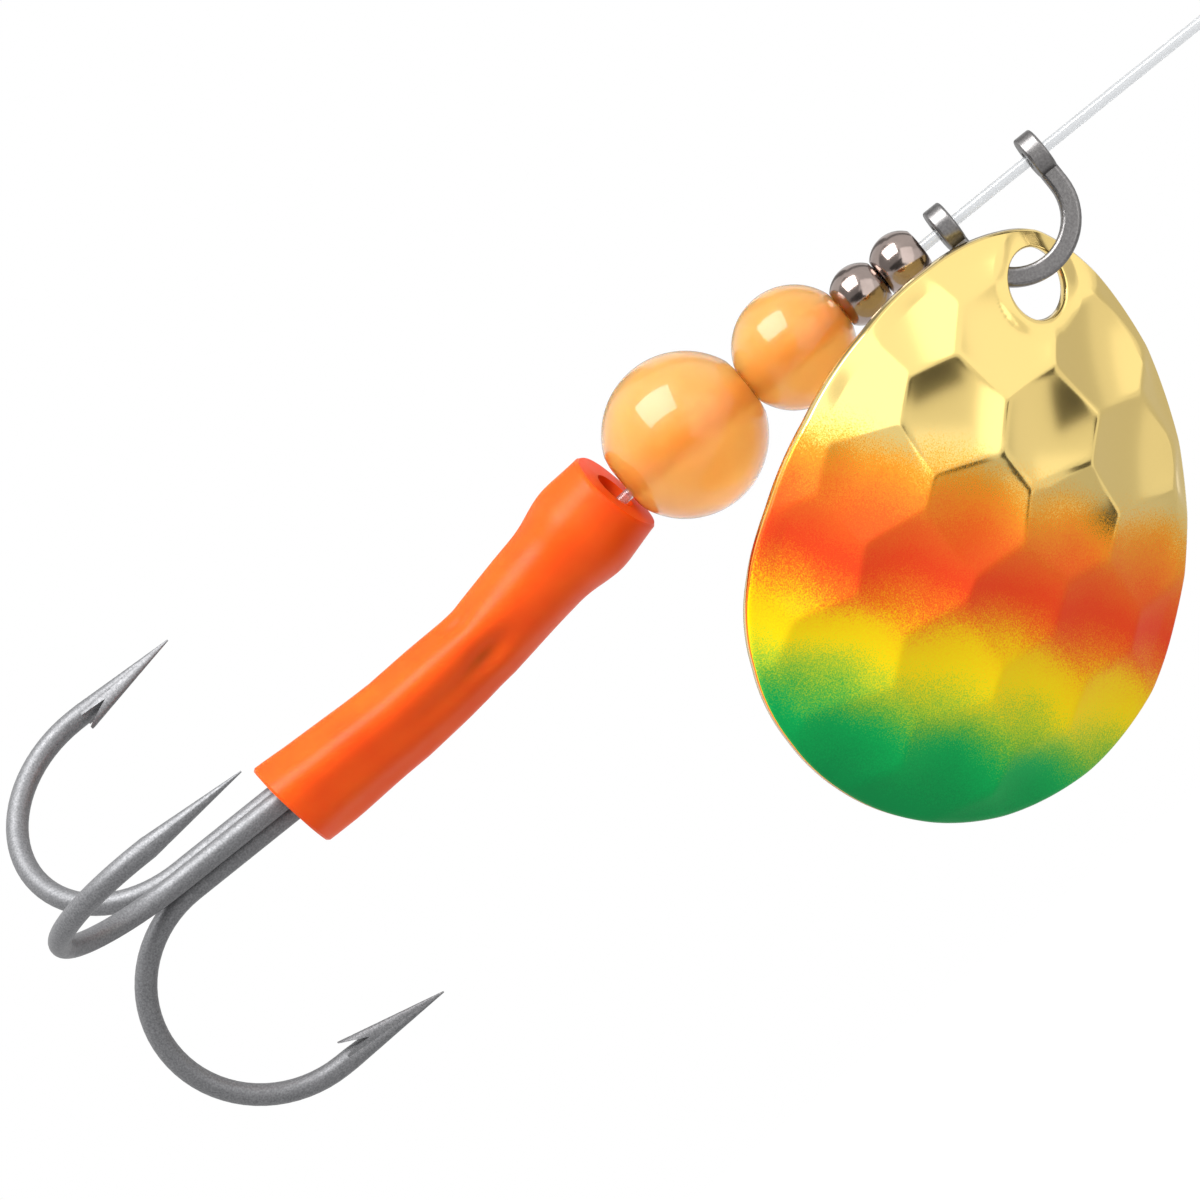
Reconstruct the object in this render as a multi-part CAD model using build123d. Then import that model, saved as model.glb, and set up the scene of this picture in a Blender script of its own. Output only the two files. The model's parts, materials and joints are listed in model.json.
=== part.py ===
from build123d import *
import os
from math import cos, pi, radians, sin, tan

# Spinner rig for trout and salmon: a treble hook with a rubber sleeve, two glow beads, two metal
# beads and a hammered blade on a folded clevis, all threaded on one short nylon leader.
# Millimetres. +X runs along the leader towards the rod, +Z is up and +Y points away from the
# blade's painted face. The origin is where a snap bears on the far end of the line loop.

# ---- driving dimensions -------------------------------------------------------------------
LINE_D = 0.55                 # nylon leader

LOOP_LENGTH = 7.0             # line loop, from its knot to the bearing point
LOOP_WIDTH = 3.4              # line loop, between the centres of its two strands
LOOP_KNOT_LENGTH = 2.2        # surgeon's knot that closes the loop
LOOP_KNOT_D = 1.7

LARGE_BEAD_D = 8.0            # glow bead next to the hook
LARGE_BEAD_LENGTH = 7.56      # between its two flattened ends
SMALL_BEAD_D = 6.0
SMALL_BEAD_LENGTH = 5.66
GLOW_BORE_D = 1.5             # hole through both glow beads
METAL_BEAD_D = 3.0
METAL_BEAD_LENGTH = 2.4
METAL_BORE_D = 1.1
BEAD_PLAY = 0.03              # between the flats of neighbouring beads

CLEVIS_STOCK = 0.97           # thickness of the clevis strip
CLEVIS_BEND_R = 2.28          # inside radius of the U
CLEVIS_STRIP_W = 0.95         # strip width round the bend
CLEVIS_EYE_D = 2.3            # round ends of the strip
CLEVIS_HOLE_D = 0.9
CLEVIS_DEPTH = 1.75           # leader axis to the centre of the bend
CLEVIS_PLAY = 1.0             # upper metal bead to the clevis
CLEVIS_TRAVEL = 11.0          # clevis to the loop knot: how far the stack can slide

BLADE_LENGTH = 28.7
BLADE_WIDTH = 24.6
BLADE_WIDEST = 17.8           # top edge to the widest place
BLADE_SHOULDER = 0.62         # how fast the top narrows: 0.5 is an ellipse, 1 is a point
BLADE_STOCK = 0.55
BLADE_DOME_R = 36.0           # inside radius of the cup
BLADE_HOLE_D = 3.4
BLADE_HOLE_EDGE = 2.55        # top edge to the centre of the hole
BLADE_TRAIL = 39.5            # blade's long axis below the leader, degrees
BLADE_ROLL = 32.0             # blade's lean about its long axis, degrees
BLADE_HANG = 3.15             # centre of the clevis bend to the centre of the hole
BLADE_HANG_ANGLE = 67.6       # of that line below the leader, degrees
BLADE_BACK = 0.2              # the hole's centre behind the clevis strip

SLEEVE_GAP = 0.47             # large bead to the sleeve's top face
SLEEVE_RUN = 9.4              # sleeve top to its kink, along the leader
SLEEVE_LENGTH = 21.45         # sleeve top to its mouth
SLEEVE_TOP_R = 2.4
SLEEVE_BULGE_R = 2.66
SLEEVE_NECK_R = 2.2
SLEEVE_WAIST_R = 2.02
SLEEVE_SHANK_R = 2.18
SLEEVE_MOUTH_R = 2.42
SLEEVE_TOP_BORE = 1.1         # radius of the open bore at the top
SLEEVE_CLEARANCE = 0.06       # bore to what it covers
SLEEVE_TOP_TILT = 14.0        # the top face turned towards the blade's painted side, degrees
SLEEVE_MOUTH_SKEW = 8.0         # slant of the mouth's cut, degrees
SLEEVE_SAG = 0.22             # the sleeve's centre line below the shank's
SLEEVE_KINK_DROP = 0.82       # share of its whole drop that it has at the kink
SLEEVE_SETTLE = 0.45          # share of the lower run in which it makes the rest

WIRE_D = 1.1                  # hook wire
EYE_R = 0.96                  # hook eye, to the wire's centre line
EYE_SETBACK = 1.75            # sleeve's kink to the centre of the eye
SHANK_DROP = 1.68             # shank axis below the leader
SHANK_LENGTH = 16.4           # centre of the eye to the centre of the bend
BEND_R = 5.9                  # to the wire's centre line
POINT_LENGTH = 6.05           # bend to the tip, along the shank
SPEAR_LENGTH = 5.5            # the ground point, from the barb to the tip
SPEAR_LEAN = 0.3              # the tip outside the wire's centre line
SPEAR_THICKNESS = 0.92        # of the knife-ground part
BARB_HEIGHT = 0.55            # barb's tip above the wire
BARB_LENGTH = 1.4             # depth of the notch behind it
HOOK_TURN = 80.0              # the single hook, turned from +Z towards -Y, degrees
TIP_R = 0.04
BRAZE_SINK = 0.025            # the double hook's wires are brazed this far into each other

HOOK_KNOT_WRAPS = 5           # clinch knot at the hook eye
HOOK_KNOT_PITCH = 0.85 * LINE_D    # pulled tight, the wraps bite into each other
HOOK_KNOT_R = 0.72 * LINE_D   # to the centre of a wrap
HOOK_KNOT_WRAP_R = 0.52 * LINE_D
HOOK_KNOT_CORE_R = 0.6 * LINE_D
HOOK_KNOT_GAP = 1.0 * LINE_D  # eye's wire to the knot
KNOT_CLEARANCE = 0.10         # line to the eye's wire
LOOP_KNOT_WRAPS = 4
LOOP_KNOT_TILT = 8.0          # of its turns, degrees
LOOP_KNOT_END = 0.1           # the turns stand this far past the knot's core
LOOP_NECK = 0.05              # half the gap between the loop's strands at the knot
LOOP_SINK = 0.15              # the strands reach this far into the knot

# ---- places along the leader --------------------------------------------------------------
line_r = LINE_D / 2
wire_r = WIRE_D / 2
loop_knot_x = -LOOP_LENGTH - LOOP_KNOT_LENGTH / 2
clevis_w = 2 * (CLEVIS_BEND_R + CLEVIS_STOCK)
clevis_x = loop_knot_x - LOOP_KNOT_LENGTH / 2 - CLEVIS_TRAVEL - clevis_w / 2
upper_metal_x = clevis_x - clevis_w / 2 - CLEVIS_PLAY - METAL_BEAD_LENGTH / 2
lower_metal_x = upper_metal_x - METAL_BEAD_LENGTH - BEAD_PLAY
small_bead_x = lower_metal_x - (METAL_BEAD_LENGTH + SMALL_BEAD_LENGTH) / 2 - BEAD_PLAY
large_bead_x = small_bead_x - (SMALL_BEAD_LENGTH + LARGE_BEAD_LENGTH) / 2 - BEAD_PLAY
sleeve_top_x = large_bead_x - LARGE_BEAD_LENGTH / 2 - SLEEVE_GAP
sleeve_kink_x = sleeve_top_x - SLEEVE_RUN
sleeve_mouth_x = sleeve_top_x - SLEEVE_LENGTH
eye_x = sleeve_kink_x - EYE_SETBACK
eye_end_x = eye_x + EYE_R                      # centre of the wire at the eye's far end
bend_x = eye_x - SHANK_LENGTH
pair_offset = WIRE_D / 3 ** 0.5 - BRAZE_SINK    # shank axis to the double hook's two wires
single_offset = WIRE_D / 3 ** 0.5 + 1.1 * BRAZE_SINK


def save(name, shape):
    """Write one sub-part as its own STEP file."""
    shape.label = name
    export_step(shape, f"parts/{name}.step")


def radial(turn):
    """Unit vector across the shank: 0 is +Z and 90 is -Y."""
    return Vector(0, -sin(radians(turn)), cos(radians(turn)))


def hook_point(x, r, turn):
    """A place x along the leader and r out from the shank axis."""
    return Vector(x, 0, -SHANK_DROP) + radial(turn) * r


def tube(path, radius):
    """A round wire along a path."""
    start = Plane(origin=path @ 0, z_dir=path % 0)
    return sweep(start * Circle(radius), path=path)


# ---- nylon leader -------------------------------------------------------------------------
def leader_route():
    """Knot at the hook eye, up the sleeve to the beads' axis, then straight to the loop knot."""
    knot_end_x = eye_end_x + wire_r + HOOK_KNOT_GAP + HOOK_KNOT_WRAPS * HOOK_KNOT_PITCH
    rise = SHANK_DROP / (sleeve_top_x - eye_end_x)
    return [
        Vector(knot_end_x, 0, -SHANK_DROP + rise * (knot_end_x - eye_end_x)),
        Vector(sleeve_top_x, 0, 0),
        Vector(loop_knot_x - LOOP_KNOT_LENGTH / 2, 0, 0),
    ]


def corner_radii(points):
    """Each arc is as large as its two runs allow."""
    radii = []
    for a, b, c in zip(points, points[1:], points[2:]):
        turn = (b - a).get_angle(c - b)
        radii.append(0.45 * min((b - a).length, (c - b).length) / tan(radians(turn / 2)))
    return radii


def leader():
    points = leader_route()
    radii = corner_radii(points)
    print("leader arc radii", [round(r, 1) for r in radii])
    path = FilletPolyline(*points, radius=radii)
    line = tube(path, line_r)
    share = line.volume / (pi * line_r ** 2 * path.length)
    print("leader length", round(path.length, 2), "volume share", round(share, 4))
    return line


def hook_knot():
    """A loop of line through the hook eye, and the clinch knot's wraps beside it."""
    start = leader_route()[0]
    along = (leader_route()[1] - start).normalized()
    loop = Rot(HOOK_TURN - 90, 0, 0) * Torus(wire_r + line_r + KNOT_CLEARANCE, line_r)
    knot = Pos(eye_end_x, 0, -SHANK_DROP) * loop
    for wrap in range(HOOK_KNOT_WRAPS):
        centre = start - along * HOOK_KNOT_PITCH * (0.5 + wrap)
        knot += Plane(origin=centre, z_dir=along) * Torus(HOOK_KNOT_R, HOOK_KNOT_WRAP_R)
    core_length = HOOK_KNOT_PITCH * HOOK_KNOT_WRAPS
    core_base = start - along * core_length
    core = extrude(Circle(HOOK_KNOT_CORE_R), core_length)
    knot += Plane(origin=core_base, z_dir=along) * core
    return knot


def line_loop():
    """An eight-shaped strand pair that opens into a loop with a round end."""
    half = LOOP_WIDTH / 2
    arc_x = -half - line_r
    base_x = -LOOP_LENGTH + LOOP_SINK
    neck = line_r + LOOP_NECK
    with BuildLine() as outline:
        upper = Spline((base_x, 0, neck), (arc_x, 0, half), tangents=[(1, 0, 0.25), (1, 0, 0)])
        end = ThreePointArc((arc_x, 0, half), (arc_x + half, 0, 0), (arc_x, 0, -half))
        Spline((arc_x, 0, -half), (base_x, 0, -neck), tangents=[(-1, 0, 0), (-1, 0, 0.25)])
    return tube(outline.line, line_r)


def loop_knot():
    """The surgeon's knot: turns of line pulled into one barrel, with the tag end trimmed."""
    start = loop_knot_x - LOOP_KNOT_LENGTH / 2
    pitch = LOOP_KNOT_LENGTH / LOOP_KNOT_WRAPS
    core = extrude(Circle(LOOP_KNOT_D / 2 - line_r * 0.7), LOOP_KNOT_LENGTH - 2 * LOOP_KNOT_END)
    knot = Plane(origin=(start + LOOP_KNOT_END, 0, 0), z_dir=(1, 0, 0)) * core
    for wrap in range(LOOP_KNOT_WRAPS):
        ring = Torus(LOOP_KNOT_D / 2 - line_r, line_r)
        tilt = Rot(0, 90 + (LOOP_KNOT_TILT if wrap % 2 else -LOOP_KNOT_TILT), 0)
        knot += Pos(start + pitch * (wrap + 0.5), 0, 0) * tilt * ring
    return knot


# ---- beads --------------------------------------------------------------------------------
def bead(x, diameter, length, bore):
    """A ball with two flattened ends, bored along the leader."""
    slab = Box(length, diameter * 1.1, diameter * 1.1)
    hole = Rot(0, 90, 0) * Cylinder(bore / 2, diameter * 1.2)
    return Pos(x, 0, 0) * ((Sphere(diameter / 2) & slab) - hole)


# ---- clevis -------------------------------------------------------------------------------
def clevis():
    """A strip folded into a U, with a round, drilled end on each leg."""
    mid_r = CLEVIS_BEND_R + CLEVIS_STOCK / 2
    with BuildLine() as route:
        Line((-mid_r, 0, 0), (-mid_r, 0, -CLEVIS_DEPTH))
        ThreePointArc(
            (-mid_r, 0, -CLEVIS_DEPTH), (0, 0, -CLEVIS_DEPTH - mid_r), (mid_r, 0, -CLEVIS_DEPTH))
        Line((mid_r, 0, -CLEVIS_DEPTH), (mid_r, 0, 0))
    start = Plane(origin=(-mid_r, 0, 0), x_dir=(1, 0, 0), z_dir=(0, 0, -1))
    section = start * RectangleRounded(CLEVIS_STOCK, CLEVIS_STRIP_W, CLEVIS_STOCK * 0.22)
    strip = sweep(section, path=route.line)
    for x in (-mid_r, mid_r):
        disc = Rot(0, 90, 0) * Cylinder(CLEVIS_EYE_D / 2, CLEVIS_STOCK)
        disc = fillet(disc.edges().filter_by(GeomType.CIRCLE), CLEVIS_STOCK * 0.15)
        strip += Pos(x, 0, 0) * disc
    strip -= Rot(0, 90, 0) * Cylinder(CLEVIS_HOLE_D / 2, 3 * clevis_w)
    return Pos(clevis_x, 0, 0) * strip


# ---- blade --------------------------------------------------------------------------------
def blade_half_width(distance):
    """Half width of the blade at a distance from its top edge."""
    half = BLADE_WIDTH / 2
    if distance < BLADE_WIDEST:
        u = 1 - distance / BLADE_WIDEST
        return half * max(0.0, 1 - u * u) ** BLADE_SHOULDER
    u = (distance - BLADE_WIDEST) / (BLADE_LENGTH - BLADE_WIDEST)
    return half * max(0.0, 1 - u * u) ** 0.5


def blade_plane():
    """Where the hole's centre lies, with x across the blade, y up it and z out of its face."""
    hang = radians(BLADE_HANG_ANGLE)
    trail = radians(BLADE_TRAIL)
    roll = radians(BLADE_ROLL)
    centre = Vector(clevis_x, BLADE_BACK, -CLEVIS_DEPTH)
    centre += Vector(-cos(hang), 0, -sin(hang)) * BLADE_HANG
    up = Vector(cos(trail), 0, sin(trail))
    across = Vector(sin(trail), 0, -cos(trail)) * cos(roll) + Vector(0, 1, 0) * sin(roll)
    return Plane(origin=centre, x_dir=across, z_dir=across.cross(up))


def blade():
    """An egg-shaped cup, struck from sheet, with the hole in its narrow top."""
    steps = 12
    right = []
    for i in range(1, 2 * steps):
        swing = pi * i / (2 * steps)
        if i <= steps:
            distance = BLADE_WIDEST * (1 - cos(swing))
        else:
            distance = BLADE_WIDEST - (BLADE_LENGTH - BLADE_WIDEST) * cos(swing)
        right.append((blade_half_width(distance), BLADE_HOLE_EDGE - distance))
    top = (0, BLADE_HOLE_EDGE)
    bottom = (0, BLADE_HOLE_EDGE - BLADE_LENGTH)
    left = [(-x, y) for x, y in reversed(right)]
    with BuildSketch() as outline:
        with BuildLine():
            Spline(top, *right, bottom, *left, periodic=True)
        make_face()
    dome_y = BLADE_HOLE_EDGE - BLADE_LENGTH / 2
    fall = BLADE_DOME_R - (BLADE_DOME_R ** 2 - dome_y ** 2) ** 0.5
    dome_z = fall - BLADE_DOME_R
    height = BLADE_LENGTH / 3
    blank = extrude(outline.sketch, height, both=True)
    skin = Pos(0, dome_y, dome_z) * (Sphere(BLADE_DOME_R + BLADE_STOCK) - Sphere(BLADE_DOME_R))
    cup = (blank & skin) - Cylinder(BLADE_HOLE_D / 2, 2 * height)
    cup = max(cup.solids(), key=lambda s: s.center().Z)
    return blade_plane() * cup


# ---- sleeve -------------------------------------------------------------------------------
def sleeve_axis(x):
    """Height of the sleeve's centre line: along the leader, then along the shank."""
    lower = -SHANK_DROP - SLEEVE_SAG
    if x >= sleeve_kink_x:
        return lower * SLEEVE_KINK_DROP * (sleeve_top_x - x) / SLEEVE_RUN
    share = (sleeve_kink_x - x) / (sleeve_kink_x - sleeve_mouth_x)
    return lower * (SLEEVE_KINK_DROP + (1 - SLEEVE_KINK_DROP) * min(1.0, share / SLEEVE_SETTLE))


def sleeve():
    """A rubber tube stretched over the shank, the eye and the knot, with its ends left open."""
    over_shank = single_offset + wire_r + SLEEVE_CLEARANCE
    over_eye = EYE_R + wire_r + SLEEVE_CLEARANCE
    stations = [    # share of the length, outside and bore radius, share of the top's tilt
        (0.0, SLEEVE_TOP_R, SLEEVE_TOP_BORE, 1.0),
        (0.022, SLEEVE_TOP_R * 1.03, SLEEVE_TOP_BORE, 1.0),
        (0.10, SLEEVE_BULGE_R, SLEEVE_TOP_BORE, 0.5),
        (0.27, SLEEVE_NECK_R, SLEEVE_TOP_BORE * 1.05, 0.0),
        (0.43, SLEEVE_WAIST_R, over_eye - 0.2, 0.0),
        (0.50, SLEEVE_WAIST_R * 1.02, over_eye, 0.0),
        (0.58, SLEEVE_SHANK_R, over_eye - 0.1, 0.0),
        (0.76, SLEEVE_SHANK_R, over_shank + 0.15, 0.0),
        (0.97, SLEEVE_MOUTH_R, over_shank + 0.12, 0.0),
        (1.0, SLEEVE_MOUTH_R * 0.99, over_shank + 0.14, 0.0),
    ]
    step = 0.4          # half the length over which the centre line's slope is taken
    past = 0.5          # the bore's cutter runs on past both faces
    slant_from = 0.76   # share of the length where the mouth's slant begins
    outer = []
    inner = []
    for share, outside, bore, tilt in stations:
        x = sleeve_top_x - share * SLEEVE_LENGTH
        slope = (sleeve_axis(x + step) - sleeve_axis(x - step)) / (2 * step)
        lean = tan(radians(SLEEVE_TOP_TILT * tilt))
        skew = tan(radians(SLEEVE_MOUTH_SKEW)) * max(0.0, (share - slant_from) / (1 - slant_from))
        across = (-1, lean, -slope - skew)
        place = Plane(origin=(x, 0, sleeve_axis(x)), x_dir=(0, 1, 0), z_dir=across)
        outer.append(place * Circle(outside))
        inner.append((place, bore))
    top, top_bore = inner[0]
    mouth, mouth_bore = inner[-1]
    cutter = [
        top.offset(-past) * Circle(top_bore),
        *[place * Circle(bore) for place, bore in inner],
        mouth.offset(past) * Circle(mouth_bore),
    ]
    return loft(outer) - loft(cutter)


# ---- treble hook --------------------------------------------------------------------------
def hook_wire(turn, offset, top_x):
    """Shank, bend and straight leg of one hook, from top_x to the start of its point."""
    across = offset + 2 * BEND_R
    leg_end_x = bend_x + POINT_LENGTH - SPEAR_LENGTH
    with BuildLine() as route:
        Line(hook_point(top_x, offset, turn), hook_point(bend_x, offset, turn))
        ThreePointArc(
            hook_point(bend_x, offset, turn),
            hook_point(bend_x - BEND_R, offset + BEND_R, turn),
            hook_point(bend_x, across, turn))
        Line(hook_point(bend_x, across, turn), hook_point(leg_end_x, across, turn))
    return tube(route.line, wire_r)


def hook_spear(turn, offset):
    """The ground point: a cone with a knife edge on its inner side, and the barb split from it."""
    across = offset + 2 * BEND_R
    base_x = bend_x + POINT_LENGTH - SPEAR_LENGTH
    tip_x = bend_x + POINT_LENGTH
    out = radial(turn)
    forward = Vector(1, 0, 0)
    wire_end = Plane(origin=hook_point(base_x, across, turn), x_dir=out, z_dir=forward)
    tip = Plane(origin=hook_point(tip_x, across + SPEAR_LEAN, turn), x_dir=out, z_dir=forward)
    cone = loft([wire_end * Circle(wire_r), tip * Circle(TIP_R)])
    edge_depth = WIRE_D + BARB_HEIGHT
    edge_place = Pos(-BARB_HEIGHT / 2, 0, 0) * Ellipse(edge_depth / 2, SPEAR_THICKNESS / 2)
    knife = loft([wire_end * edge_place, tip * Circle(TIP_R)])
    side = Plane(origin=hook_point(base_x, across, turn), x_dir=forward, z_dir=forward.cross(-out))
    floor = wire_r * 0.75       # the notch is cut down to here
    with BuildSketch(side) as notch:
        with BuildLine():
            Polyline(
                (-0.5, floor), (-0.5, edge_depth), (0, wire_r + BARB_HEIGHT * 0.95),
                (0.35 * BARB_LENGTH, wire_r + BARB_HEIGHT * 0.55), (BARB_LENGTH, floor),
                (-0.5, floor))
        make_face()
    return cone + (knife - extrude(notch.sketch, WIRE_D, both=True))


def hook_eye():
    """The ring that the middle of the double hook's wire is bent into."""
    return Pos(eye_x, 0, -SHANK_DROP) * (Rot(HOOK_TURN, 0, 0) * Torus(EYE_R, wire_r))


def double_hook():
    """Two hooks bent from one wire, which makes the eye between them."""
    body = hook_eye()
    for turn in (HOOK_TURN - 120, HOOK_TURN + 120):
        body += hook_wire(turn, pair_offset, eye_x - EYE_R * 0.9)
        body += hook_spear(turn, pair_offset)
    return body


def single_hook():
    """The third hook, whose shank lies in the groove between the other two."""
    top_x = eye_x - EYE_R - WIRE_D
    return hook_wire(HOOK_TURN, single_offset, top_x) + hook_spear(HOOK_TURN, single_offset)


os.makedirs("parts", exist_ok=True)
save("leader", leader())
save("hook_knot", hook_knot())
save("line_loop", line_loop())
save("loop_knot", loop_knot())
save("large_glow_bead", bead(large_bead_x, LARGE_BEAD_D, LARGE_BEAD_LENGTH, GLOW_BORE_D))
save("small_glow_bead", bead(small_bead_x, SMALL_BEAD_D, SMALL_BEAD_LENGTH, GLOW_BORE_D))
save("lower_metal_bead", bead(lower_metal_x, METAL_BEAD_D, METAL_BEAD_LENGTH, METAL_BORE_D))
save("upper_metal_bead", bead(upper_metal_x, METAL_BEAD_D, METAL_BEAD_LENGTH, METAL_BORE_D))
save("clevis", clevis())
save("blade", blade())
save("hook_sleeve", sleeve())
save("double_hook", double_hook())
save("single_hook", single_hook())
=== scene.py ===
import json
import math
import random

import bpy
import numpy as np
from mathutils import Matrix, Vector

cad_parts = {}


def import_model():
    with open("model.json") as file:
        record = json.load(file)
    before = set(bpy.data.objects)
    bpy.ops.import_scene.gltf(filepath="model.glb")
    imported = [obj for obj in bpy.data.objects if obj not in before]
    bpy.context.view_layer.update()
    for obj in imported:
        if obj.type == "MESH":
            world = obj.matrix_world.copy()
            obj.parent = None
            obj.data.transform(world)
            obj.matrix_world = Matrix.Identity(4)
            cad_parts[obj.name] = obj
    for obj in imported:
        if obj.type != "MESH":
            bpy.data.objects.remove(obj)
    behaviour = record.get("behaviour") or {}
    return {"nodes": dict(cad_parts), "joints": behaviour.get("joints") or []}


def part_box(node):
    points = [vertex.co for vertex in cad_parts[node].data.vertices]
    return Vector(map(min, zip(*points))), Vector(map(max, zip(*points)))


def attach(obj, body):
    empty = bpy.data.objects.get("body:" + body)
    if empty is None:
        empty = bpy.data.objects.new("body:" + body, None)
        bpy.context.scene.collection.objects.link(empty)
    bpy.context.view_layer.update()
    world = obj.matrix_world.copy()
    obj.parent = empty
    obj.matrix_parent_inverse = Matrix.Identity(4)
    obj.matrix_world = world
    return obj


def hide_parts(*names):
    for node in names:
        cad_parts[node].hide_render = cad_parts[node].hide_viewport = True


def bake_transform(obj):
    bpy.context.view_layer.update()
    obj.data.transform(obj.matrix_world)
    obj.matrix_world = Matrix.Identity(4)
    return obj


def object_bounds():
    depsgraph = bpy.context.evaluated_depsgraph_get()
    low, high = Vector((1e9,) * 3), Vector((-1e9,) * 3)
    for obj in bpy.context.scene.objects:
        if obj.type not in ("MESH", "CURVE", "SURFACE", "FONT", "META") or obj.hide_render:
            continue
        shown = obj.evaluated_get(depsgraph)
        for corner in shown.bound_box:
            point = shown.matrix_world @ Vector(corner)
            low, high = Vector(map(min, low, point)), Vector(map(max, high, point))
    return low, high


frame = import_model()
cad_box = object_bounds()
nodes = frame["nodes"]
joints = {joint["name"]: joint for joint in frame["joints"]}

# ---- sizes, in metres ---------------------------------------------------------------------
MM = 0.001
LINE_D = 0.55 * MM

VIEW_TURN = math.radians(38.7)      # the leader climbs this steeply across the picture
VIEW_CENTRE = (-8.07 * MM, -3.6 * MM)   # picture's centre from the large bead's, along X and Z
VIEW_DISTANCE = 317 * MM
VIEW_LENS = 200                     # focal length in millimetres
VIEW_SENSOR = 36
SOFT_LIGHT = 0.7                    # strength of the world's light on the object

FLOOR_DROP = 12 * MM                # below the object's lowest point
FLOOR_REACH = 2.5                   # half the floor's side
FLOOR_FADE = (20 * MM, 110 * MM)    # the floor's glow grows between these distances
FLOOR_GLOW = (0.72, 1.0)            # share of glow at the two

BEAD_SEGMENTS = 144
BEAD_RIM_STEPS = 6
BEAD_BALL_STEPS = 40
GLOW_BORE_R = 0.75 * MM
METAL_BORE_R = 0.55 * MM
LARGE_RIM_R = 0.3 * MM              # rounding where a bore meets the bead's flat
SMALL_RIM_R = 0.25 * MM
METAL_RIM_R = 0.15 * MM

BLADE_LENGTH = 28.7 * MM
BLADE_WIDTH = 24.6 * MM
BLADE_WIDEST = 17.8 * MM            # top edge to the widest place
BLADE_SHOULDER = 0.62               # 0.5 makes the top an ellipse, and more slims it
BLADE_STOCK = 0.55 * MM
BLADE_DOME_R = 36.0 * MM            # the cup is part of a ball this large
BLADE_HOLE_R = 1.7 * MM
BLADE_HOLE_EDGE = 2.55 * MM         # top edge to the hole's centre
BLADE_TRAIL = math.radians(39.5)    # angle between the blade and the leader
BLADE_ROLL = math.radians(32.0)     # the face's turn about the blade's length
BLADE_HANG = 3.15 * MM              # clevis bend to the hole's centre
BLADE_HANG_ANGLE = math.radians(67.6)   # how steeply that runs down from the leader
BLADE_BACK = 0.2 * MM               # the hole's centre lies this far behind the bend
BLADE_EDGE_ROUND = 0.1 * MM
BLADE_SPOKES = 460                  # the mesh's lines from the hole to the edge
BLADE_RINGS = 104                   # and its steps along each

STRIKE_PITCH = 5.6 * MM             # hammer strikes across the blade
STRIKE_ROW_PITCH = 4.05 * MM        # and down it
STRIKE_FIRST_ROW = -2.8 * MM        # height of row 0, from the hole
STRIKE_SHIFT = -1.7 * MM            # the whole pattern sits this far to one side
STRIKE_JITTER = 0.5 * MM
STRIKE_FADE = 1.6 * MM              # strikes grow this far in from the edge
STRIKE_AT_EDGE = 0.35               # share of their height that is left at the edge
STRIKE_HOLE_FADE = 0.9 * MM         # and this far out from the hole, where none is left
STRIKE_CURVE = 44.0                 # depth of a strike is this times the radius squared
STRIKE_MEAN = 0.13                  # taken off as the mean: this share of the depth at a full pitch
STRIKE_BLEND = 0.036 * MM           # how far the ridges between strikes are softened

PAINT_SLANT = 0.045                 # the painted bands run down to one side
PAINT_DROP = 0.4 * MM               # and all of them sit this much further down the blade
PAINT_DISH = 2                      # the bands shift by this many times the hammering's height
PAINT_LOW, PAINT_HIGH = -26.0, 2.0  # heights that the colours span, in millimetres

SLEEVE_LENGTH = 21.45 * MM
SLEEVE_TOP = 4.25 * MM              # large bead's centre to the sleeve's top
SLEEVE_RUN = 9.4 * MM               # top to the kink at the hook's eye
SLEEVE_DROP = 1.9 * MM              # of the centre line, from top to mouth
SLEEVE_KINK_DROP = 0.82             # share of the drop that is reached at the kink
SLEEVE_SETTLE = 2.2                 # the rest is reached after 1 / this of the way on to the mouth
SLEEVE_SLOPE_STEP = 0.8 * MM        # the centre line's slope is taken over this much each way
SLEEVE_TOP_TILT = math.radians(14)  # the top face turned towards the viewer
SLEEVE_SKEW = 0.14                  # the mouth's slanting cut
SLEEVE_LIP_R = 0.1 * MM
SLEEVE_RIDGE = 0.095                # how far the shank's three wires make it three sided
SLEEVE_RIDGE_FLAT = 0.36            # flattens the sides between the wires
SLEEVE_WIRE_TURN = math.radians(76)     # where one of the wires presses out
SLEEVE_STEPS = 170
SLEEVE_SEGMENTS = 120
SLEEVE_CRISP = math.radians(35)     # edges sharper than this aren't shaded smooth
# Share of the length from the top, and the radius there in millimetres.
SLEEVE_OUTSIDE = (
    (0.0, 2.42), (0.02, 2.46), (0.11, 2.68), (0.14, 2.6), (0.21, 2.24), (0.34, 2.14),
    (0.46, 2.04), (0.58, 2.16), (0.76, 2.22), (0.98, 2.45), (1.0, 2.46))
SLEEVE_INSIDE = (
    (0.0, 1.1), (0.27, 1.15), (0.43, 1.37), (0.5, 1.57), (0.58, 1.47), (0.76, 1.42), (1.0, 1.4))
# Place along the sleeve, place round it in degrees, length, width in degrees, and depth.
SLEEVE_DENTS = ((9.6, 112, 1.1, 20, 0.42), (12.0, 122, 2.6, 22, 0.2), (9.8, 48, 0.8, 12, 0.16))

rng = random.Random(7)


# ---- small helpers ------------------------------------------------------------------------
def colour(red, green, blue):
    """Linear colour from the usual 0 to 255 values."""
    channels = []
    for value in (red, green, blue):
        share = value / 255
        channels.append(share / 12.92 if share <= 0.04045 else ((share + 0.055) / 1.055) ** 2.4)
    return (*channels, 1.0)


def centre_of(node):
    low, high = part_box(node)
    return (low + high) / 2


def add_object(name, data):
    thing = bpy.data.objects.new(name, data)
    bpy.context.scene.collection.objects.link(thing)
    return thing


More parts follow.
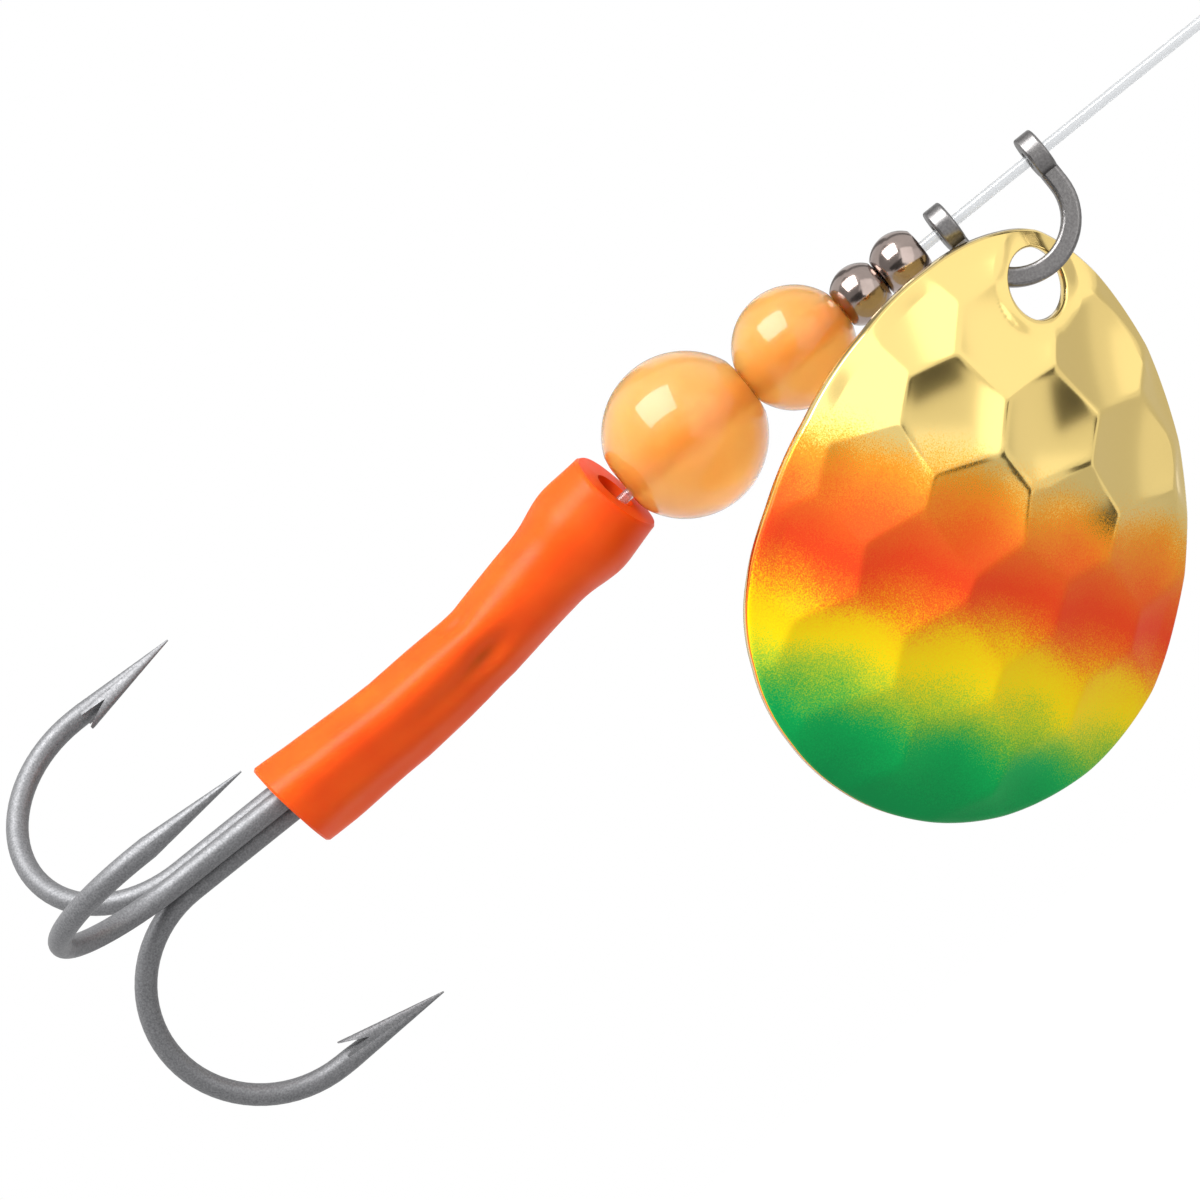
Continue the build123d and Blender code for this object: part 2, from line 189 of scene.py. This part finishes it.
def flat_plate(name, half_width, half_height):
    """One face round its own origin."""
    x, y = half_width, half_height
    mesh = bpy.data.meshes.new(name)
    mesh.from_pydata([(-x, -y, 0), (x, -y, 0), (x, y, 0), (-x, y, 0)], [], [(0, 1, 2, 3)])
    return add_object(name, mesh)


def grid_mesh(name, rows):
    """A closed mesh from rows of points, all the same length, that run round in both ways."""
    count = len(rows)
    width = len(rows[0])
    vertices = [tuple(point) for row in rows for point in row]
    faces = []
    for i in range(count):
        following = (i + 1) % count
        for j in range(width):
            right = (j + 1) % width
            faces.append((
                i * width + j, i * width + right, following * width + right,
                following * width + j))
    mesh = bpy.data.meshes.new(name)
    mesh.from_pydata(vertices, [], faces)
    mesh.validate()
    mesh.shade_smooth()
    return add_object(name, mesh)


def turned(name, profile, place, segments):
    """A closed profile of (x, radius) turned about the leader's axis."""
    rows = []
    for i in range(segments):
        angle = 2 * math.pi * i / segments
        rows.append([
            place + Vector((x, -r * math.sin(angle), r * math.cos(angle))) for x, r in profile])
    return grid_mesh(name, rows)


def finish_piece(piece, material, body, slot, *replaced):
    """Give a piece its material and body, and hide the CAD nodes it stands for. The slot is not
    used.
    """
    piece.data.materials.append(material)
    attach(piece, body)
    if replaced:
        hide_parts(*replaced)


def dress(node, material):
    """Give a CAD node its finish."""
    for holder in nodes[node].material_slots:
        holder.material = material


# ---- materials ----------------------------------------------------------------------------
class Finish:
    """A principled material and short ways to add nodes to it."""

    def __init__(self, name, **sockets):
        self.material = bpy.data.materials.new(name)
        self.material.use_nodes = True
        self.tree = self.material.node_tree
        self.shader = self.tree.nodes["Principled BSDF"]
        self.place = self.tree.nodes.new("ShaderNodeTexCoord").outputs["Object"]
        for socket, value in sockets.items():
            self.shader.inputs[socket.replace("_", " ")].default_value = value

    def add(self, kind, links=None, **values):
        node = self.tree.nodes.new(kind)
        for name, value in values.items():
            setattr(node, name, value)
        for socket, source in (links or {}).items():
            if isinstance(source, bpy.types.NodeSocket):
                self.tree.links.new(source, node.inputs[socket])
            else:
                node.inputs[socket].default_value = source
        return node

    def noise(self, scale, detail=4.0):
        return self.add("ShaderNodeTexNoise", {
            "Vector": self.place, "Scale": scale, "Detail": detail}).outputs["Fac"]

    def spread(self, value, low, high, from_low=0.3, from_high=0.7):
        """Carry a value over to a range."""
        return self.add("ShaderNodeMapRange", {
            "Value": value, "From Min": from_low, "From Max": from_high,
            "To Min": low, "To Max": high,
        }).outputs["Result"]

    def ramp(self, value, stops):
        node = self.add("ShaderNodeValToRGB", {"Fac": value})
        elements = node.color_ramp.elements
        while len(elements) < len(stops):
            elements.new(0.5)
        for element, (position, tint) in zip(elements, stops):
            element.position = position
            element.color = tint
        return node.outputs["Color"]

    def use(self, socket, source):
        self.tree.links.new(source, self.shader.inputs[socket])

    def bump(self, height, strength, distance):
        node = self.add("ShaderNodeBump", {
            "Height": height, "Strength": strength, "Distance": distance})
        self.use("Normal", node.outputs["Normal"])

    def show(self, surface):
        """Send a shader to the material's output."""
        out = self.tree.nodes["Material Output"]
        self.tree.links.new(surface, out.inputs["Surface"])


def nylon():
    finish = Finish(
        "clear_nylon", Base_Color=colour(222, 224, 226), Transmission_Weight=0.9, IOR=1.53)
    haze = finish.noise(900.0)
    finish.use("Roughness", finish.spread(haze, 0.1, 0.22))
    return finish.material


def glow_plastic():
    finish = Finish(
        "glow_plastic", Transmission_Weight=0.68, IOR=1.36, Subsurface_Weight=1.0,
        Subsurface_Radius=(1.0, 0.6, 0.3), Subsurface_Scale=4.0 * MM, Specular_IOR_Level=0.3,
        Coat_Weight=1.0, Coat_Roughness=0.03, Coat_IOR=1.36)
    cloud = finish.noise(230.0, 2.0)
    finish.use("Base Color", finish.ramp(cloud, [
        (0.32, colour(255, 178, 82)), (0.68, colour(255, 192, 104))]))
    finish.use("Roughness", finish.spread(finish.noise(1500.0), 0.3, 0.4))
    return finish.material


def dark_plate():
    finish = Finish("black_nickel", Metallic=1.0)
    stain = finish.noise(700.0)
    finish.use("Base Color", finish.ramp(stain, [
        (0.3, colour(150, 136, 130)), (0.7, colour(170, 155, 148))]))
    finish.use("Roughness", finish.spread(finish.noise(2600.0), 0.12, 0.2))
    return finish.material


def clevis_steel():
    finish = Finish("clevis_steel", Metallic=1.0)
    grain = finish.noise(9000.0, 2.0)
    finish.use("Base Color", finish.ramp(grain, [
        (0.3, colour(112, 110, 110)), (0.7, colour(132, 130, 129))]))
    finish.use("Roughness", finish.spread(finish.noise(1800.0), 0.3, 0.4))
    finish.bump(grain, 0.25, 0.008 * MM)
    return finish.material


def hook_steel():
    finish = Finish("hook_steel", Metallic=0.6, Specular_IOR_Level=0.3)
    grain = finish.noise(11000.0, 2.0)
    finish.use("Base Color", finish.ramp(grain, [
        (0.28, colour(103, 104, 106)), (0.72, colour(137, 137, 139))]))
    finish.use("Roughness", finish.spread(finish.noise(2400.0), 0.46, 0.56))
    finish.bump(grain, 0.3, 0.01 * MM)
    return finish.material


def orange_rubber():
    finish = Finish(
        "orange_rubber", Subsurface_Weight=0.35, Subsurface_Radius=(1.0, 0.1, 0.03),
        Subsurface_Scale=1.2 * MM, IOR=1.45, Specular_IOR_Level=0.18)
    cloud = finish.noise(420.0, 2.0)
    finish.use("Base Color", finish.ramp(cloud, [
        (0.3, colour(240, 80, 14)), (0.7, colour(246, 90, 16))]))
    finish.use("Roughness", finish.spread(finish.noise(1300.0), 0.34, 0.44))
    finish.bump(finish.noise(2200.0), 0.1, 0.02 * MM)
    return finish.material


def painted_brass():
    """Polished brass, and candy paint sprayed in bands down the blade.

    Every height is in millimetres up from the hole, as the mesh's paint attribute gives it.
    """
    finish = Finish(
        "painted_brass", Coat_Roughness=0.14, Coat_IOR=1.9, Specular_IOR_Level=0.1)
    height = finish.add("ShaderNodeAttribute", attribute_name="paint").outputs["Fac"]
    speck = finish.noise(15000.0, 1.0)
    drift = finish.noise(260.0, 2.0)
    shift = finish.add("ShaderNodeMath", {
        0: finish.spread(speck, -0.75, 0.75), 1: finish.spread(drift, -0.4, 0.4)},
        operation="ADD").outputs[0]
    band = finish.add("ShaderNodeMath", {0: height, 1: shift}, operation="ADD").outputs[0]
    share = finish.spread(band, 0.0, 1.0, PAINT_LOW, PAINT_HIGH)
    stops = [
        (-24.8, colour(0, 140, 70)), (-22.1, colour(0, 172, 82)), (-21.1, colour(96, 184, 60)),
        (-20.0, colour(180, 208, 46)), (-18.8, colour(254, 224, 2)), (-17.2, colour(254, 206, 6)),
        (-15.9, colour(248, 118, 24)), (-14.6, colour(244, 66, 26)), (-12.2, colour(245, 106, 32)),
        (-10.2, colour(248, 156, 40)), (-9.3, colour(246, 182, 64)), (-8.3, colour(230, 199, 108)),
    ]
    finish.use("Base Color", finish.ramp(share, [
        ((at - PAINT_LOW) / (PAINT_HIGH - PAINT_LOW), tint) for at, tint in stops]))
    finish.use("Metallic", finish.spread(band, 0.25, 1.0, -10.8, -9.0))
    finish.use("Roughness", finish.spread(band, 0.4, 0.15, -11.5, -8.8))
    finish.use("Coat Weight", finish.spread(band, 0.04, 0.8, -10.0, -8.3))
    return finish.material


# ---- camera, light and stage --------------------------------------------------------------
def view_axes():
    """The picture's directions to the right and up, and the one towards the viewer."""
    c, s = math.cos(VIEW_TURN), math.sin(VIEW_TURN)
    return Vector((c, 0, -s)), Vector((s, 0, c)), Vector((0, -1, 0))


def aim(thing, place, right, up, back):
    """Stand a camera, lamp or card at a place, looking against back."""
    turn = Matrix((right, up, back)).transposed()
    thing.matrix_world = Matrix.Translation(place) @ turn.to_4x4()


def view_point():
    """The place in the leader's upright plane that the camera looks at."""
    bead = centre_of("large_glow_bead")
    return Vector((bead.x + VIEW_CENTRE[0], 0, bead.z + VIEW_CENTRE[1]))


def camera():
    lens = bpy.data.cameras.new("view")
    lens.lens = VIEW_LENS
    lens.sensor_width = VIEW_SENSOR
    lens.clip_start = 0.01
    holder = add_object("view", lens)
    right, up, back = view_axes()
    aim(holder, view_point() + back * VIEW_DISTANCE, right, up, back)
    bpy.context.scene.camera = holder


def facing(direction):
    """Axes of something that stands out along direction and looks back at the object."""
    back = direction.normalized()
    right = Vector((0, 0, 1)).cross(back).normalized()
    return right, back.cross(right), back


def lamp(name, across, upward, forward, distance, size, power):
    """A soft lamp, placed by how far it stands across, up and towards the viewer."""
    right, up, back = view_axes()
    direction = (right * across + up * upward + back * forward).normalized()
    light = bpy.data.lights.new(name, "AREA")
    light.shape = "RECTANGLE"
    light.size, light.size_y = size
    light.energy = power
    holder = add_object(name, light)
    aim(holder, view_point() + direction * distance, *facing(direction))


def card(name, to_right, up_by, distance, size, roll, glow):
    """A studio card that only shows in reflections, placed by its angles from the viewer."""
    right, up, back = view_axes()
    around, rise = math.radians(to_right), math.radians(up_by)
    direction = right * math.sin(around) * math.cos(rise) + up * math.sin(rise)
    direction += back * math.cos(around) * math.cos(rise)
    board = flat_plate(name, size[0] / 2, size[1] / 2)
    finish = Finish(name)
    light = finish.add("ShaderNodeEmission", {"Color": (1, 1, 1, 1), "Strength": glow})
    finish.show(light.outputs[0])
    board.data.materials.append(finish.material)
    flat = up.cross(direction).normalized()
    tilt = Matrix.Rotation(math.radians(roll), 3, direction)
    aim(board, view_point() + direction * distance, tilt @ flat, tilt @ direction.cross(flat),
        direction)
    board.visible_camera = False
    board.visible_diffuse = False
    board.visible_shadow = False
    board.visible_transmission = False
    board.visible_volume_scatter = False


def world():
    """Plain soft light, and white wherever the object shows its surroundings."""
    sky = bpy.data.worlds.new("studio")
    bpy.context.scene.world = sky
    sky.use_nodes = True
    tree = sky.node_tree
    tree.nodes.clear()
    path = tree.nodes.new("ShaderNodeLightPath").outputs
    shown = path["Is Camera Ray"]
    for ray in ("Is Glossy Ray", "Is Transmission Ray"):
        either = tree.nodes.new("ShaderNodeMath")
        either.operation = "MAXIMUM"
        tree.links.new(shown, either.inputs[0])
        tree.links.new(path[ray], either.inputs[1])
        shown = either.outputs[0]
    mix = tree.nodes.new("ShaderNodeMixShader")
    tree.links.new(shown, mix.inputs["Fac"])
    for socket, strength in ((1, SOFT_LIGHT), (2, 1.0)):
        light = tree.nodes.new("ShaderNodeBackground")
        light.inputs["Color"].default_value = (1.0, 1.0, 1.0, 1.0)
        light.inputs["Strength"].default_value = strength
        tree.links.new(light.outputs[0], mix.inputs[socket])
    out = tree.nodes.new("ShaderNodeOutputWorld")
    tree.links.new(mix.outputs[0], out.inputs["Surface"])


def floor():
    """A pale floor under the object, which runs out into the white of the studio."""
    low, high = cad_box
    plate = flat_plate("floor", FLOOR_REACH, FLOOR_REACH)
    plate.location = ((low[0] + high[0]) / 2, 0, low[2] - FLOOR_DROP)
    finish = Finish("floor_white", Base_Color=colour(244, 244, 244), Roughness=0.9)
    plate.data.materials.append(finish.material)
    away = finish.add("ShaderNodeVectorMath", {0: finish.place}, operation="LENGTH")
    fade = finish.spread(away.outputs["Value"], *FLOOR_GLOW, *FLOOR_FADE)
    glow = finish.add("ShaderNodeEmission", {"Strength": 1.0})
    mix = finish.add("ShaderNodeMixShader", {
        "Fac": fade, 1: finish.shader.outputs[0], 2: glow.outputs[0]})
    finish.show(mix.outputs[0])
    plate.visible_glossy = False
    plate.visible_transmission = False
    plate.visible_diffuse = False


# ---- leader -------------------------------------------------------------------------------
def leader(material):
    """The nylon from the knot at the hook eye to the loop knot, through every bead."""
    route = [
        (-53.0325 * MM, 0, -1.1133 * MM),
        (-46.28 * MM, 0, 0),
        (-9.2 * MM, 0, 0),
    ]
    curve = bpy.data.curves.new("leader_line", "CURVE")
    curve.dimensions = "3D"
    curve.bevel_depth = LINE_D / 2
    curve.bevel_resolution = 8
    curve.resolution_u = 24
    spline = curve.splines.new("NURBS")
    spline.points.add(len(route) - 1)
    for point, place in zip(spline.points, route):
        point.co = (*place, 1.0)
    spline.order_u = 3
    spline.use_endpoint_u = True
    line = add_object("leader_line", curve)
    finish_piece(line, material, "leader", "nylon", "leader")
    ends = [nodes[name] for name in ("hook_knot", "loop_knot", "line_loop")]
    for node in ends:
        dress(node.name, material)


# ---- beads --------------------------------------------------------------------------------
def bead_profile(radius, half, bore, rim):
    """A bead's section on one side of the axis: bore, rounded rims, flats and ball."""
    side = []
    for i in range(BEAD_RIM_STEPS + 1):
        a = math.pi / 2 * i / BEAD_RIM_STEPS
        side.append((half - rim + rim * math.sin(a), bore + rim - rim * math.cos(a)))
    start = math.acos(min(1.0, half / radius))
    ball = []
    for i in range(1, BEAD_BALL_STEPS):
        a = start + (math.pi - 2 * start) * i / BEAD_BALL_STEPS
        ball.append((radius * math.cos(a), radius * math.sin(a)))
    other = [(-x, r) for x, r in reversed(side)]
    return side + ball + other


def bead(name, node, body, bore, rim, material, slot):
    low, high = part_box(node)
    radius = (high.z - low.z) / 2
    half = (high.x - low.x) / 2
    profile = bead_profile(radius, half, bore, rim)
    piece = turned(name, profile, centre_of(node), BEAD_SEGMENTS)
    finish_piece(piece, material, body, slot, node)


# ---- blade --------------------------------------------------------------------------------
def blade_axes():
    """The hole's centre and the directions across the blade, up it and out of its face."""
    bend = Vector(joints["blade_swing"]["pos_m"])
    centre = bend + Vector((0, BLADE_BACK, 0))
    centre += Vector((-math.cos(BLADE_HANG_ANGLE), 0, -math.sin(BLADE_HANG_ANGLE))) * BLADE_HANG
    up = Vector((math.cos(BLADE_TRAIL), 0, math.sin(BLADE_TRAIL)))
    side = Vector((math.sin(BLADE_TRAIL), 0, -math.cos(BLADE_TRAIL)))
    across = side * math.cos(BLADE_ROLL) + Vector((0, 1, 0)) * math.sin(BLADE_ROLL)
    return centre, across, up, across.cross(up)


def blade_outline(turn):
    """A place on the blade's edge: 0 is the top and half a turn is the bottom."""
    swing = math.pi * (1 - abs(1 - 2 * turn))
    if swing <= math.pi / 2:
        distance = BLADE_WIDEST * (1 - math.cos(swing))
        share = max(0.0, math.sin(swing) ** 2) ** BLADE_SHOULDER
    else:
        distance = BLADE_WIDEST - (BLADE_LENGTH - BLADE_WIDEST) * math.cos(swing)
        share = math.sin(swing)
    side = 1 if turn <= 0.5 else -1
    return side * BLADE_WIDTH / 2 * share, BLADE_HOLE_EDGE - distance


def strikes():
    """Centres of the hammer strikes: staggered rows, each a little out of place."""
    places = []
    for row in range(-2, 8):
        y = STRIKE_FIRST_ROW - row * STRIKE_ROW_PITCH
        for column in range(-4, 5):
            x = STRIKE_SHIFT + (column + 0.5 * (row % 2)) * STRIKE_PITCH
            places.append((
                x + rng.uniform(-1, 1) * STRIKE_JITTER, y + rng.uniform(-1, 1) * STRIKE_JITTER))
    return np.array(places)


def hammered(x, y, centres):
    """Height of the struck surface above its mean."""
    square = (x[..., None] - centres[:, 0]) ** 2 + (y[..., None] - centres[:, 1]) ** 2
    depth = STRIKE_CURVE * square
    least = depth.min(axis=-1, keepdims=True)
    blend = np.exp(-(depth - least) / STRIKE_BLEND).sum(axis=-1)
    height = least[..., 0] - STRIKE_BLEND * np.log(blend)
    return height - STRIKE_CURVE * STRIKE_PITCH ** 2 * STRIKE_MEAN


def blade_spokes():
    """Places across and up the blade, from the hole's centre: one row for each spoke."""
    inner = BLADE_HOLE_R + BLADE_EDGE_ROUND
    shares = np.linspace(0, 1, BLADE_RINGS + 1)
    xs, ys = [], []
    for i in range(BLADE_SPOKES):
        x, y = blade_outline(i / BLADE_SPOKES)
        reach = math.hypot(x, y)
        radii = inner + (reach - BLADE_EDGE_ROUND - inner) * shares
        radii = np.concatenate(([BLADE_HOLE_R], radii, [reach]))
        xs.append(x / reach * radii)
        ys.append(y / reach * radii)
    return np.array(xs), np.array(ys)


def blade(material):
    """Both faces, with the same strikes and rounded edges. The back has no paint."""
    centre, across, up, out = blade_axes()
    dome_y = BLADE_HOLE_EDGE - BLADE_LENGTH / 2
    sphere_z = -math.sqrt(BLADE_DOME_R ** 2 - dome_y ** 2)
    xs, ys = blade_spokes()
    dish = hammered(xs, ys, strikes())
    from_centre = np.hypot(xs, ys)
    from_hole = from_centre - BLADE_HOLE_R
    from_edge = from_centre[:, -1:] - from_centre
    dish *= np.clip(from_hole / STRIKE_HOLE_FADE, 0, 1) ** 2
    dish *= STRIKE_AT_EDGE + (1 - STRIKE_AT_EDGE) * np.clip(from_edge / STRIKE_FADE, 0, 1)

    def face(radius):
        return np.sqrt(radius ** 2 - xs ** 2 - (ys - dome_y) ** 2) + sphere_z + dish

    front = face(BLADE_DOME_R + BLADE_STOCK)
    back = face(BLADE_DOME_R)
    for column in (0, -1):
        front[:, column] -= BLADE_EDGE_ROUND
        back[:, column] += BLADE_EDGE_ROUND
    bands = ys + PAINT_SLANT * xs + PAINT_DROP + PAINT_DISH * dish
    rows, paint = [], []
    axes = (across, up, out)
    for i in range(BLADE_SPOKES):
        row = []
        for height, order in ((front, 1), (back, -1)):
            for j in range(xs.shape[1])[::order]:
                spot = zip(axes, (xs[i, j], ys[i, j], height[i, j]))
                row.append(centre + sum((axis * float(share) for axis, share in spot), Vector()))
                paint.append(bands[i, j] / MM if height is front else PAINT_HIGH)
        rows.append(row)
    piece = grid_mesh("hammered_blade", rows)
    heights = piece.data.attributes.new("paint", "FLOAT", "POINT")
    heights.data.foreach_set("value", np.array(paint, np.float32))
    finish_piece(piece, material, "blade", "painted_brass", "blade")


# ---- sleeve -------------------------------------------------------------------------------
def smooth_between(stations, at, reach=0.025):
    """A value between stations of (place, value), with the corners rounded off."""
    places, values = zip(*stations)
    near = np.interp(at + np.linspace(-reach, reach, 9), places, values)
    return float(near.mean())


def sleeve_height(along):
    """The centre line's height: along the leader, then along the shank."""
    if along <= SLEEVE_RUN:
        return -SLEEVE_DROP * SLEEVE_KINK_DROP * along / SLEEVE_RUN
    share = (along - SLEEVE_RUN) / (SLEEVE_LENGTH - SLEEVE_RUN)
    settled = min(1.0, SLEEVE_SETTLE * share)
    return -SLEEVE_DROP * (SLEEVE_KINK_DROP + (1 - SLEEVE_KINK_DROP) * settled)


def sleeve_slope(along):
    rise = sleeve_height(along + SLEEVE_SLOPE_STEP) - sleeve_height(along - SLEEVE_SLOPE_STEP)
    return rise / (2 * SLEEVE_SLOPE_STEP)


def sleeve_ridge(share, turn):
    """The three wires of the shank press the rubber into a soft triangle below the eye."""
    rise = smooth_between([(0.0, 0.3), (0.3, 0.35), (0.5, 1.0), (0.9, 1.0), (1.0, 0.6)], share)
    off = turn - SLEEVE_WIRE_TURN
    return 1 + SLEEVE_RIDGE * rise * (math.cos(3 * off) + SLEEVE_RIDGE_FLAT * math.cos(6 * off))


def sleeve_dent(along, turn):
    """Where the rubber buckles on the inside of its kink."""
    depth = 0.0
    for place, side, length, width, deep in SLEEVE_DENTS:
        off = (along / MM - place) / length
        round_off = (math.degrees(turn) - side + 180) % 360 - 180
        depth += deep * MM * math.exp(-off * off - (round_off / width) ** 2)
    return depth


def sleeve_radius(share, turn, radius):
    """The outside's radius, with its ridges, dents and rounded lips."""
    from_end = min(share, 1 - share) * SLEEVE_LENGTH
    if from_end < SLEEVE_LIP_R:
        radius -= SLEEVE_LIP_R - math.sqrt(
            SLEEVE_LIP_R * SLEEVE_LIP_R - (SLEEVE_LIP_R - from_end) ** 2)
    return radius * sleeve_ridge(share, turn) - sleeve_dent(share * SLEEVE_LENGTH, turn)


def sleeve(material):
    """The rubber tube: down its outside, back up its inside, and round."""
    top = centre_of("large_glow_bead").x - SLEEVE_TOP
    walls = []
    for i in range(SLEEVE_STEPS + 1):
        share = i / SLEEVE_STEPS
        walls.append((share, smooth_between(SLEEVE_OUTSIDE, share) * MM, True))
    for i in range(SLEEVE_STEPS + 1):
        share = 1 - i / SLEEVE_STEPS
        walls.append((share, smooth_between(SLEEVE_INSIDE, share) * MM, False))
    rows = []
    for i in range(SLEEVE_SEGMENTS):
        turn = 2 * math.pi * i / SLEEVE_SEGMENTS
        row = []
        for share, radius, outer in walls:
            if outer:
                radius = sleeve_radius(share, turn, radius)
            along = share * SLEEVE_LENGTH
            rise = sleeve_slope(along)
            rise -= SLEEVE_SKEW * smooth_between([(0.0, 0.0), (0.8, 0.0), (1.0, 1.0)], share)
            tilt = SLEEVE_TOP_TILT * smooth_between([(0.0, 1.0), (0.2, 0.0), (1.0, 0.0)], share)
            upward = Vector((rise, 0, 1)).normalized()
            sideways = Vector((-math.tan(tilt), -1, 0)).normalized()
            spot = Vector((top - along, 0, sleeve_height(along)))
            row.append(spot + (upward * math.cos(turn) + sideways * math.sin(turn)) * radius)
        rows.append(row)
    piece = grid_mesh("rubber_sleeve", rows)
    piece.data.set_sharp_from_angle(angle=SLEEVE_CRISP)
    piece.data.materials.append(material)
    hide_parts("hook_sleeve")
    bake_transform(piece)


# ---- the scene ----------------------------------------------------------------------------
bpy.context.scene.view_settings.view_transform = "Standard"
camera()
world()
floor()
lamp(
    "key", across=-0.61, upward=0.61, forward=0.51, distance=0.6, size=(0.5, 0.46), power=7.0)
# Degrees to the right of the viewer and up, distance, size, roll in degrees, and glow.
for name, *placed in (
        ("room", -50, 12, 0.9, (1.5, 1.8), 0, 0.38),
        ("dark_room", 0, -3, 0.45, (0.22, 1.0), -52, 0.08),
        ("window", 27, 25, 0.36, (0.3, 0.4), 0, 2.0),
        ("camera_case", 64, -4, 0.3, (0.10, 0.066), 20, 0.1),
        ("ceiling", 66, 26, 0.38, (0.2, 0.22), 0, 1.35),
        ("counter", 74, -18, 0.4, (0.3, 0.12), 0, 0.68),
        ("side_wall", 108, -4, 0.42, (0.3, 0.5), 0, 0.72),
        ("table", 20, -62, 0.4, (0.8, 0.34), 0, 0.8),
        ("rear_door", -150, 28, 0.5, (0.15, 0.5), -30, 0.3),
        ("rear_shelf", 178, 8, 0.5, (0.2, 0.4), 25, 0.5),
        ("rear_beam", -172, 58, 0.5, (0.5, 0.12), 10, 0.35)):
    card(name, *placed)

leader(nylon())
glow = glow_plastic()
plate = dark_plate()
bead("large_bead", "large_glow_bead", "large_bead", GLOW_BORE_R, LARGE_RIM_R, glow, "glow_bead")
bead("small_bead", "small_glow_bead", "small_bead", GLOW_BORE_R, SMALL_RIM_R, glow, "glow_bead")
bead("lower_bead", "lower_metal_bead", "lower_bead", METAL_BORE_R, METAL_RIM_R, plate, "dark_metal")
bead("upper_bead", "upper_metal_bead", "upper_bead", METAL_BORE_R, METAL_RIM_R, plate, "dark_metal")
blade(painted_brass())
sleeve(orange_rubber())
dress("clevis", clevis_steel())
steel = hook_steel()
dress("double_hook", steel)
dress("single_hook", steel)
